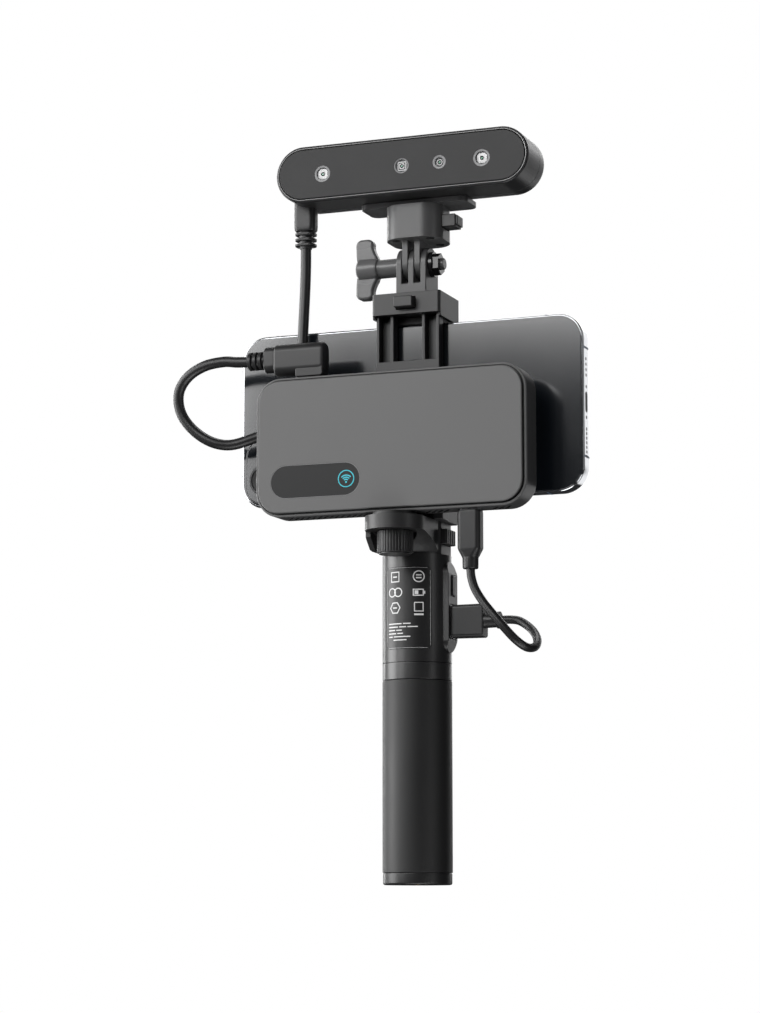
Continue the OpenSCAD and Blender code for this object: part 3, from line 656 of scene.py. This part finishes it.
def make_handle(m):
    origin = (0, 0, 0)
    cap = ring_lathe([(5.0, 0), (12.9, 0), (13.4, 0.12), (13.72, 0.45), (13.8, 0.9), (13.8, 4.4),
                      (13.65, 4.62), (12.7, 4.65), (11, 4.7), (11, 9), (5.0, 9)], "Z", origin, 128)
    add_piece("end_cap_look", cap, m["moulded"], ["end_cap"])
    refined("tripod_insert", m["brass"], 0.15)
    sleeve = ring_lathe(tube_profile(12.6, 14.0, 4.75, 80.95, 0.35), "Z", origin, 128)
    add_piece("grip_sleeve_look", sleeve, m["grip"], ["grip_sleeve"])
    collar = ring_lathe(tube_profile(12.65, 13.95, 81.1, 87.85, 0.22), "Z", origin, 128)
    add_piece("collar_ring_look", collar, m["housing"], ["collar_ring"])
    refined("upper_housing", m["housing"], 0.2)
    refined("port_panel", m["housing"], 0.5)
    refined("power_button", m["moulded"], 0.3)
    make_label(m)


def make_label(m):
    """Rating label: a curved film with neutral signs and bars in place of its print."""
    radius = 14.16
    lo, hi = box("label_plate")
    half, low, high, turn = 10.25, lo.z + 0.05, hi.z - 0.05, 0.052
    bm = bmesh.new()
    middle = (low + high) / 2
    columns = 24
    rows = []
    for i in range(columns + 1):
        u = -half + 2 * half * i / columns
        inset = max(0, abs(u) - (half - 1.2))
        drop = 1.2 - math.sqrt(max(1.2 ** 2 - inset ** 2, 0))
        a = u / radius + turn
        rows.append([(r * math.sin(a), -r * math.cos(a), v)
                     for r, v in ((radius - 0.3, low + drop), (radius - 0.06, low + drop),
                                  (radius, low + drop + 0.06), (radius, high - drop - 0.06),
                                  (radius - 0.06, high - drop), (radius - 0.3, high - drop))])
    loft(bm, rows)
    add_piece("label_film", bm, m["label"], ["label_plate"])

    ink = bmesh.new()
    lift = radius + 0.05

    def at(u, v):
        a = u / lift + turn
        return (lift * math.sin(a), -lift * math.cos(a), middle + v)

    def bar(u, v, width, height):
        cells = max(1, round(2 * width))
        for c in range(cells):
            a, b = u + width * c / cells, u + width * (c + 1) / cells
            ink.faces.new([ink.verts.new(at(*p)) for p in
                           ((a, v), (b, v), (b, v + height), (a, v + height))])

    def ring(u, v, outer, inner, sides, turn=0.0):
        """A regular outline of that many sides, cut fine enough to follow the curve."""
        spots = [[], []]
        cuts = max(1, 40 // sides)
        for k in range(sides):
            for c in range(cuts):
                for spot, r in zip(spots, (inner, outer)):
                    a, b = (2 * math.pi * (k + turn + e) / sides for e in (0, 1))
                    t = c / cuts
                    spot.append(at(u + r * ((1 - t) * math.cos(a) + t * math.cos(b)),
                                   v + r * ((1 - t) * math.sin(a) + t * math.sin(b))))
        for k in range(len(spots[0])):
            j = (k + 1) % len(spots[0])
            ink.faces.new([ink.verts.new(p) for p in
                           (spots[0][k], spots[1][k], spots[1][j], spots[0][j])])

    left, right, tall = -5.2, 5.0, 12.4
    # left column: square with a bar, two circles, hexagon with a bar
    ring(left, tall, 3.0, 2.4, 4, 0.5)
    bar(left - 1.0, tall - 0.25, 2.0, 0.5)
    ring(left - 1.5, tall - 6.2, 1.9, 1.45, 40)
    ring(left + 1.5, tall - 6.2, 1.9, 1.45, 40)
    ring(left, tall - 12.4, 2.6, 2.1, 6)
    bar(left - 1.0, tall - 12.65, 2.0, 0.5)
    # right column: circle with two bars, battery, square over a bar
    ring(right, tall, 2.4, 1.95, 40)
    bar(right - 1.1, tall + 0.3, 2.2, 0.5)
    bar(right - 1.1, tall - 0.8, 2.2, 0.5)
    v = tall - 6.4
    for edge in ((-2.4, -1.4, 4.4, 0.4), (-2.4, 1.0, 4.4, 0.4), (-2.4, -1.4, 0.4, 2.8),
                 (1.6, -1.4, 0.4, 2.8), (2.1, -0.6, 0.5, 1.2), (-1.7, -0.75, 1.5, 1.5)):
        bar(right + edge[0], v + edge[1], edge[2], edge[3])
    ring(right, tall - 12.2, 2.7, 2.2, 4, 0.5)
    bar(right - 1.9, tall - 15.6, 3.8, 0.7)
    # lines of small print
    for row, widths in enumerate(((6.5, 3.2), (4.8, 3.0, 4.2), (3.4, 2.6), (3.9, 2.6), (2.2, 7.4), (6.0,))):
        u = -8.6 if row < 5 else -6
        for width in widths:
            bar(u, -6.6 - 1.3 * row, width, 0.42)
            u += width + 0.6
    # hairline round the edge
    for v in (low - middle + 0.35, high - middle - 0.5):
        bar(-8.6, v, 17.2, 0.09)
    for u in (-9.85, 9.7):
        bar(u, low - middle + 1.4, 0.09, high - low - 2.8)
    add_piece("label_ink", ink, m["print"], body="handle")


# ---------------------------------------------------------------- bridge box

def make_box(m):
    lo, hi = box("box_rear_shell")
    size, corner = (hi.x - lo.x, hi.z - lo.z), 10.4
    centre = ((lo.x + hi.x) / 2, 0, (lo.z + hi.z) / 2)
    front, back = lo.y, hi.y
    levels = [(back - 1.6, 1.6), (front + 1.2, 1.6), (front + 1.2, 0.02)]
    levels += edge_levels(front + 1.2, back, 0, 2.2)[1:]
    shell = layered(size, corner, "Y", centre, levels, 14)
    cutters = []
    for start, count in ((-46, 14), (13, 4), (41, 3)):
        for i in range(count):
            slot = bmesh.new()
            bmesh.ops.create_cube(slot, size=1, matrix=Matrix.Translation((start + 2.5 * i, -21.8, lo.z))
                                  @ Matrix.Rotation(math.radians(35), 4, "Z")
                                  @ Matrix.Diagonal((1.1, 8.4, 3, 1)))
            cutters.append(slot)
    cutters.append(slab((9.2, 3.4), 1.6, "Z", (INLET_X, INLET_Y, 0), lo.z - 1, lo.z + 3, 0, 0))
    cutters.append(slab((9.2, 3.4), 1.6, "Z", (-38, ANGLE_Y, 0), hi.z - 3, hi.z + 1, 0, 0))
    add_piece("box_shell_look", carved(shell, joined(*cutters)), m["rear_shell"], ["box_rear_shell"])

    # a lip round the shell's front painted pale, in the cover's colour, as the highlight on the shell's
    # rounded front edge; then a gap painted black as the shade in the groove; then the cover plate
    face = box("box_front_cover")[0].y
    # the lip's pale colour is a painted highlight along the shell's rounded front edge
    lip = [(front + 1.2, 0.85), (front + 0.1, 0.85), (front, 0.75)] + edge_levels(front, front + 1.2, 0.5, 0)
    add_piece("shell_lip_painted_highlight", frame_ring(size, corner, "Y", centre, lip), m["cover"], body="handle")
    # the gap ring is painted near-black: painted shade in the groove between the shell and the cover plate
    gap = [(front + 1.2, 0.85), (front + 0.35, 0.87), (front + 0.35, 1.5), (face + 0.75, 1.5),
           (face + 0.7, 1.6), (face + 0.7, 2), (front + 1.2, 2)]
    add_piece("shell_gap_painted_shade", frame_ring(size, corner, "Y", centre, gap), m["black_and_painted_shade"], body="handle")
    plate = [(front + 1.9, 1.75), (face + 0.9, 1.75), (face + 0.72, 1.42)]
    plate += [(level, inset + 1.4) for level, inset in edge_levels(face + 0.71, face, 0, 0.5)]
    cover = layered(size, corner, "Y", centre, plate, 14)
    spot = (-32, 0, 160.1)
    recess = slab((38.8, 13.6), 6.79, "Y", spot, face - 1, face + 0.35, 0, 0, 16)
    add_piece("box_cover_look", carved(cover, recess), m["cover"], ["box_front_cover"], bevel=0.1,
              segments=2)
    badge = slab((38.3, 13.1), 6.54, "Y", spot, face + 0.34, face + 0.12, 0, 0.1, 16)
    # a pale ring round the badge recess: a painted highlight on the recess edge
    outline = [(face + 0.2, 0.02), (face + 0.05, 0.02), (face + 0.05, 0.22), (face + 0.2, 0.22)]
    add_piece("badge_painted_highlight", frame_ring((38.7, 13.5), 6.74, "Y", spot, outline, 16), m["window_ring"],
              body="handle")
    add_piece("badge_plate", badge, m["badge"], ["box_badge"])
    bm = bmesh.new()
    bm.from_mesh(NODES["badge_icon"].data)
    bmesh.ops.scale(bm, vec=(1 / MM,) * 3, verts=bm.verts)
    bmesh.ops.translate(bm, vec=(0, 0.03, 0), verts=bm.verts)
    add_piece("badge_icon_look", bm, m["icon"], ["badge_icon"], smooth=30)
    refined("box_screws", m["steel"], 0.1)
    refined("box_knob", m["moulded"], 0.12, 2)


# ---------------------------------------------------------------- phone

def make_phone(m):
    lo, hi = box("phone_frame")
    size, corner = (hi.x - lo.x, hi.z - lo.z), 10.5
    centre = ((lo.x + hi.x) / 2, 0, (lo.z + hi.z) / 2)
    back = box("phone_back")[0].y
    front = box("phone_screen")[1].y
    levels = [(back + 2.2, 1.8), (front - 0.45, 1.8)]
    levels += edge_levels(front - 0.4, back + 0.4, 0.8, 0.8)
    add_piece("phone_frame_look", layered(size, corner, "Y", centre, levels, 16), m["polished"],
              ["phone_frame"])
    inner = (size[0] - 1.5, size[1] - 1.5)
    rear = slab(inner, corner - 0.75, "Y", centre, back + 0.45, back, 0, 0.35, 16)
    add_piece("phone_back_look", rear, m["phone_glass"], ["phone_back"])
    glass = slab(inner, corner - 0.75, "Y", centre, front - 0.45, front, 0, 0.35, 16)
    add_piece("phone_screen_look", glass, m["screen_glass"], ["phone_screen"])

    # holes and port on the right-hand end, as near-black discs on the frame: painted shade in place of
    # openings
    y, z = (back + front) / 2, centre[2]
    heights = [-6.2, 6.2] + [10.9 + 2.2 * i for i in range(4)] + [-10.9 - 1.85 * i for i in range(7)]
    pits = [lathe([(0.7, hi.x - 0.3), (0.7, hi.x + 0.03)], "X", (0, y, z + dz), 20) for dz in heights]
    pits.append(slab((2.8, 8.4), 1.39, "X", (0, y, z), hi.x - 0.3, hi.x + 0.03, 0, 0))
    add_piece("phone_holes_painted_shade", joined(*pits), m["black_and_painted_shade"], body="phone")

    # antenna lines across the frame, and the keys on its long edges
    lines = []
    for x in (lo.x + 15.5, hi.x - 15.5):
        for edge in (lo.z, hi.z):
            lines.append(slab((0.9, 6.4), 0.2, "Z", (x, y, 0), edge - 0.02, edge + 0.02, 0, 0, 2))
    for edge in (lo.x, hi.x):
        for dz in (-22, 22):
            lines.append(slab((6.4, 0.9), 0.2, "X", (0, y, z + dz), edge - 0.02, edge + 0.02, 0, 0, 2))
    add_piece("antenna_lines", joined(*lines), m["key_line"], body="phone")
    keys = [slab((length, 2.6), 1.25, "Z", (lo.x + at, y, 0), hi.z - 0.3, hi.z + 0.45, 0, 0.2)
            for at, length in ((18, 5), (28.5, 10), (40.5, 10))]
    keys.append(slab((16, 2.6), 1.25, "Z", (lo.x + 38, y, 0), lo.z + 0.3, lo.z - 0.45, 0, 0.2))
    add_piece("phone_keys", joined(*keys), m["key"], body="phone")

    # camera island
    hub = (lo.x + 17, 0, lo.z + 15)
    rim = layered((29, 28), 7.5, "Y", hub, [(back + 0.02, 0.2), (back - 1.0, 0.05), (back - 1.5, 0.25),
                                           (back - 1.62, 0.55), (back - 1.5, 0.8)], 12)
    add_piece("island_rim", rim, m["anodised"], body="phone")
    plate = slab((27.4, 26.4), 6.8, "Y", hub, back - 1.3, back - 1.72, 0, 0.15, 12)
    add_piece("island_glass", plate, m["phone_glass"], ["phone_camera"])
    top = back - 1.7
    rings, wells, lenses = [], [], []
    for dx, dz in ((-5.8, -3.6), (6.2, 4.4)):
        spot = (hub[0] + dx, 0, hub[2] + dz)
        rings.append(ring_lathe([(5.4, top + 0.2), (6.5, top + 0.2), (6.5, top - 1.1), (6.3, top - 1.35),
                                 (5.6, top - 1.35), (5.4, top - 1.2)], "Y", spot, 64))
        wells.append(lathe([(5.5, top + 0.1), (5.5, top - 0.9), (4.2, top - 0.85), (3.6, top - 0.6)],
                           "Y", spot, 64))
        lenses.append(lathe([(3.7, top - 0.5), (3.6, top - 0.75), (2.4, top - 0.95), (0.3, top - 1.0)],
                            "Y", spot, 48))
    add_piece("island_rings", joined(*rings), m["anodised"], body="phone")
    add_piece("island_wells", joined(*wells), m["black_and_painted_shade"], body="phone")
    add_piece("island_lenses", joined(*lenses), m["screen_glass"], body="phone")
    flash = lathe([(2.4, top + 0.1), (2.4, top - 0.1), (2.1, top - 0.2)], "Y",
                  (hub[0] - 5.8, 0, hub[2] + 8.2), 40)
    add_piece("island_flash", flash, m["pale"], body="phone")


# ---------------------------------------------------------------- clamp and joint

def make_clamp(m):
    for node, key, edge in (
            ("bracket", "satin", 0.4), ("thumb_button", "moulded", 0.35), ("bracket_pad", "grip", 0.2),
            ("clamp_body", "satin", 0.5), ("lower_pad", "grip", 0.3), ("jaw_carriage", "satin", 0.25),
            ("jaw_cap", "satin", 0.55), ("jaw_pad", "grip", 0.3), ("jaw_lug", "satin", 0.35),
            ("finger_hub", "block", 0.3), ("hub_nut", "gloss", 0.3), ("release_block", "block", 0.5),
            ("block_screws", "black_and_painted_shade", 0.1), ("release_lever", "moulded", 0.4),
            ("mount_plate", "rear_shell", 0.35)):
        refined(node, m[key], edge)

    tilt_axis = (0, 0, 251.6)
    barrel = lathe([(3.0, -25.35), (4.2, -25.2), (4.8, -24.5), (4.8, -17.4), (4.5, -16.5), (3.9, -16.2),
                    (3.9, -7.1), (3.6, -6.8), (2.45, -6.8), (2.45, 12.0), (2.1, 12.35)], "X", tilt_axis, 64)
    upper = [(-16.4, 0), (-16.4, 4.6), (-17.5, 6.4), (-18.5, 9), (-18.3, 11.4), (-20, 12.75),
             (-24.4, 12.7), (-26, 11.2), (-25.9, 6), (-25.3, 0)]
    outline = upper + [(x, -v) for x, v in reversed(upper[1:-1])]
    wings = prism(rounded_corners(outline, 2.2), "Y", tilt_axis, -2.3, 2.3)
    add_piece("wings_look", wings, m["wing"], body="wing_bolt", bevel=1.0,
              segments=4)
    add_piece("wing_barrel", barrel, m["wing"], ["wing_bolt"])


# ---------------------------------------------------------------- scanner

def make_scanner(m):
    lo, hi = box("scanner_bezel")
    size = (hi.x - lo.x, hi.z - lo.z)
    radius = size[1] / 2 - 0.01
    centre = ((lo.x + hi.x) / 2, 0, (lo.z + hi.z) / 2)
    front = box("scanner_panel")[0].y
    seam, back = hi.y, box("scanner_rear_shell")[1].y
    levels = [(seam, 1.6), (seam, 0.15), (seam - 0.15, 0)]
    levels += edge_levels(seam - 0.2, front + 0.15, 0, 0.75)[1:]
    levels += [(front + 0.25, 0.95), (front + 0.9, 1.0), (front + 1.7, 1.05)]
    bezel = layered(size, radius, "Y", centre, [(front + 3, 1.6)] + levels, 24)
    add_piece("bezel_look", bezel, m["anodised"], ["scanner_bezel"])
    shell = [(back - 1.6, 2.6), (back - 3, 1.6), (seam + 0.02, 1.6), (seam + 0.02, 0.15)]
    shell += edge_levels(seam + 0.02, back, 0.15, 3.8, 8)
    add_piece("rear_shell_look", layered(size, radius, "Y", centre, shell, 24), m["anodised"],
              ["scanner_rear_shell"])

    # a pale ring along the bezel's inner edge: a painted highlight where the edge catches the light
    line = layered(size, radius, "Y", centre, [(front + 1.2, 0.88), (front + 0.1, 0.88), (front + 0.02, 0.96),
                                               (front + 0.1, 1.12), (front + 1.2, 1.12)], 24)
    add_piece("bezel_painted_highlight", line, m["edge"], body="head")
    windows = [(-34.1, 3.3), (0.6, 3.0), (16.9, 2.7), (35, 3.4)]
    z = mid("window_rings").z
    panel = slab((size[0] - 3, size[1] - 3), radius - 1.5, "Y", centre, front + 1.6, front, 0, 0.25, 24)
    holes = [lathe([(r + 0.2, front - 2), (r + 0.2, front + 3)], "Y", (x, 0, z), 64) for x, r in windows]
    add_piece("panel_look", carved(panel, joined(*holes)), m["panel"], ["scanner_panel"])
    rings = []
    for x, r in windows:
        inner = r - (0.35 if r == 3 else 0.75)
        rings.append(ring_lathe([(inner, front + 1.2), (r + 0.2, front + 1.2), (r + 0.2, front + 0.1),
                                 (r + 0.1, front + 0.03), (inner + 0.05, front + 0.08)], "Y", (x, 0, z), 64))
    add_piece("rings_look", joined(*rings), m["window_ring"], ["window_rings"])
    glasses = [lathe([(r - 0.3, front + 0.45), (r - 0.3, front + 0.3), (r - 0.4, front + 0.25)], "Y",
                     (x, 0, z), 64) for x, r in windows]
    add_piece("glasses_look", joined(*glasses), m["window"], ["window_glasses"])

    # what shows behind the windows: pale plates, dark barrels and small lenses
    deep = front + 0.85
    plates, barrels, lenses, wells, floors = [], [], [], [], []
    for i, (x, r) in enumerate(windows):
        spot = (x, 0, z)
        if i == 1:
            plates.append(slab((3.7, 3.7), 0.3, "Y", spot, deep + 0.1, deep - 0.12, 0, 0.05))
            wells.append(slab((3.0, 3.0), 0.2, "Y", spot, deep, deep - 0.16, 0, 0.02))
            plates.append(slab((2.2, 2.2), 0.5, "Y", spot, deep, deep - 0.2, 0, 0.02))
        elif i == 2:
            plates.append(ring_lathe([(0.95, deep + 0.1), (1.2, deep + 0.1), (1.2, deep - 0.2),
                                      (0.95, deep - 0.2)], "Y", spot, 40))
        else:
            plates.append(slab((4.1, 4.1), 0.9, "Y", spot, deep + 0.1, deep - 0.15, 0, 0.05, 1))
        floors.append(lathe([(r + 0.15, deep + 0.2), (r + 0.15, deep + 0.05)], "Y", spot, 48))
        barrels.append(ring_lathe([(0.4, deep + 0.1), (0.85, deep + 0.1), (0.85, deep - 0.3),
                                   (0.7, deep - 0.38), (0.45, deep - 0.3)], "Y", spot, 40))
        lenses.append(lathe([(0.44, deep), (0.42, deep - 0.25), (0.15, deep - 0.32)], "Y", spot, 24))
    add_piece("module_plates", joined(*plates), m["pale"], body="head")
    add_piece("module_floors", joined(*floors), m["well"], body="head")
    add_piece("module_wells", joined(*wells), m["black_and_painted_shade"], body="head")
    add_piece("module_barrels", joined(*barrels), m["gloss"], ["camera_modules"])
    add_piece("module_lenses", joined(*lenses), m["lens"], body="head")


# ---------------------------------------------------------------- build

KEPT = {
    "grip_core": "moulded", "battery_cell": "wrap", "battery_contacts": "steel", "power_board": "board",
    "usb_a_socket": "steel", "bracket_bolt": "steel", "thumb_spring": "steel", "box_board": "board",
    "box_antennas": "brass", "box_sockets": "steel", "clamp_springs": "steel",
    "scanner_board": "board", "scanner_socket": "steel",
}

make_camera()
materials = make_materials()
make_studio()
for node_name, key in KEPT.items():
    NODES[node_name].data.materials.clear()
    NODES[node_name].data.materials.append(materials[key])
make_plugs(materials)
make_cords(materials)
make_handle(materials)
make_clamp(materials)
make_box(materials)
make_phone(materials)
make_scanner(materials)
